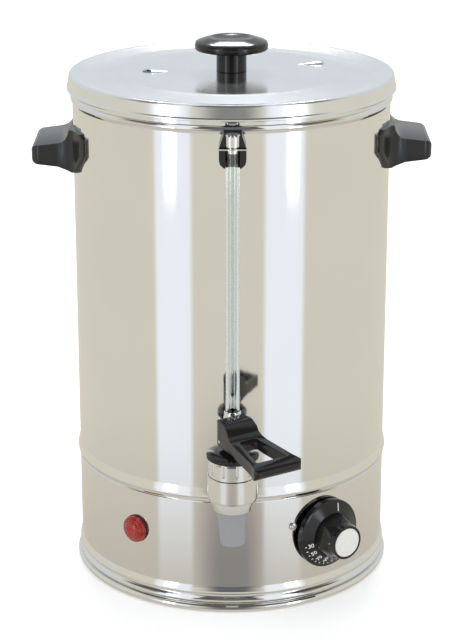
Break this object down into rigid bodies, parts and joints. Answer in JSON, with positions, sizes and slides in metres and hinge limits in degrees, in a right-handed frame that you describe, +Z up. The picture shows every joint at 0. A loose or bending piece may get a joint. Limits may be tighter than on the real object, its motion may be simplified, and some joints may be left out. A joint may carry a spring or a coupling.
{
  "type": "hot water urn",
  "caption": "Upright steel catering urn with a loose lid, side handles, a sight gauge, a loop-lever tap, a pilot lamp and a thermostat dial.",
  "frame": {"origin": "middle of the foot ring's underside, on the floor", "axes": "+Z up, -Y towards the tap, +X to the right as seen from the tap's side"},
  "size_m": [0.375, 0.4504, 0.5204],
  "materials": {
    "polished_steel": "mirror-polished stainless steel",
    "satin_steel": "satin stainless steel sheet of the lid",
    "plain_steel": "mill finish",
    "fastener_steel": "bright plated",
    "gloss_black": "gloss moulded",
    "moulded_black": "satin moulded",
    "clear_tube": "clear",
    "chrome": "bright plated",
    "rubber": "matt",
    "silicone": "matt",
    "grey_nozzle": "satin translucent",
    "spring_steel": "drawn wire",
    "element_sheath": "heat-tinted",
    "brass": "turned",
    "thermostat_case": "moulded",
    "copper": "drawn",
    "red_lens": "clear red",
    "ivory_plastic": "moulded",
    "red_button": "moulded"
  },
  "bodies": {
    "urn": {"tank_shell": "polished_steel", "rim_ring": "polished_steel", "tank_floor": "plain_steel", "base_shell": "polished_steel", "foot_ring": "polished_steel", "base_plate": "plain_steel", "base_plate_screws": "fastener_steel", "handle_left": "moulded_black", "handle_right": "moulded_black", "handle_screws": "fastener_steel", "handle_backing_plates": "plain_steel", "gauge_tube": "clear_tube", "gauge_cap": "chrome", "gauge_holder": "moulded_black", "gauge_clip": "fastener_steel", "gauge_gland_nut": "chrome", "gauge_seal": "rubber", "gauge_banjo": "chrome", "tap_body": "chrome", "tap_shank_nut": "fastener_steel", "tap_outer_washer": "rubber", "tap_inner_washer": "rubber", "tap_nozzle": "grey_nozzle", "tap_ring": "chrome", "heating_element": "element_sheath", "element_bushes": "brass", "element_nuts": "brass", "element_seals": "rubber", "thermostat_body": "thermostat_case", "thermostat_bracket": "plain_steel", "thermostat_screws": "fastener_steel", "thermostat_bulb": "copper", "bulb_gland": "brass", "lamp_lens": "red_lens", "lamp_gasket": "rubber", "lamp_body": "ivory_plastic", "lamp_nut": "ivory_plastic", "terminal_block": "ivory_plastic", "boil_dry_cutout": "thermostat_case", "cutout_clip": "plain_steel", "cable_gland": "moulded_black", "gland_nut": "moulded_black", "earth_stud": "brass"},
    "lid": {"lid_panel": "satin_steel", "lid_louvres": "satin_steel", "lid_knob_head": "gloss_black", "lid_knob_stem": "gloss_black", "lid_knob_screw": "fastener_steel", "lid_knob_washer": "plain_steel"},
    "dial": {"thermostat_shaft": "fastener_steel", "dial_skirt": "gloss_black", "dial_grip": "gloss_black", "dial_cap": "chrome"},
    "bonnet": {"tap_bonnet": "gloss_black", "tap_pin": "fastener_steel"},
    "stem": {"tap_stem": "fastener_steel", "tap_seat_cup": "silicone", "tap_spring": "spring_steel"},
    "lever": {"tap_lever": "gloss_black"},
    "reset_button": {"reset_button": "red_button"}
  },
  "joints": [
    {"name": "lid_lift", "type": "slide", "parent": "urn", "child": "lid", "axis": [0, 0, 1], "range_m": [0, 0.2]},
    {"name": "dial_turn", "type": "hinge", "parent": "urn", "child": "dial", "pos_m": [0.08817, -0.12135, 0.071], "axis": [0.5878, -0.809, 0], "range_deg": [-270, 0]},
    {"name": "tap_swivel", "type": "hinge", "parent": "urn", "child": "bonnet", "pos_m": [0.001, -0.205, 0.182], "axis": [0, 0, 1], "range_deg": [-120, 60]},
    {"name": "lever_tilt", "type": "hinge", "parent": "bonnet", "child": "lever", "pos_m": [0.001, -0.205, 0.198], "axis": [0.8387, 0.5446, 0], "range_deg": [0, 18], "stiffness_Nm_per_rad": 0.6, "springref_deg": -14.32},
    {"name": "stem_lift", "type": "slide", "parent": "bonnet", "child": "stem", "axis": [0, 0, 1], "range_m": [0, 0.005], "deforming": ["tap_spring"]},
    {"name": "reset_press", "type": "slide", "parent": "urn", "child": "reset_button", "axis": [0, 0, 1], "range_m": [0, 0.0015], "stiffness_N_per_m": 400, "springref_m": -0.001}
  ],
  "couplings": [
    {"joint": "stem_lift", "follows": "lever_tilt", "m_per_rad": 0.0159}
  ]
}
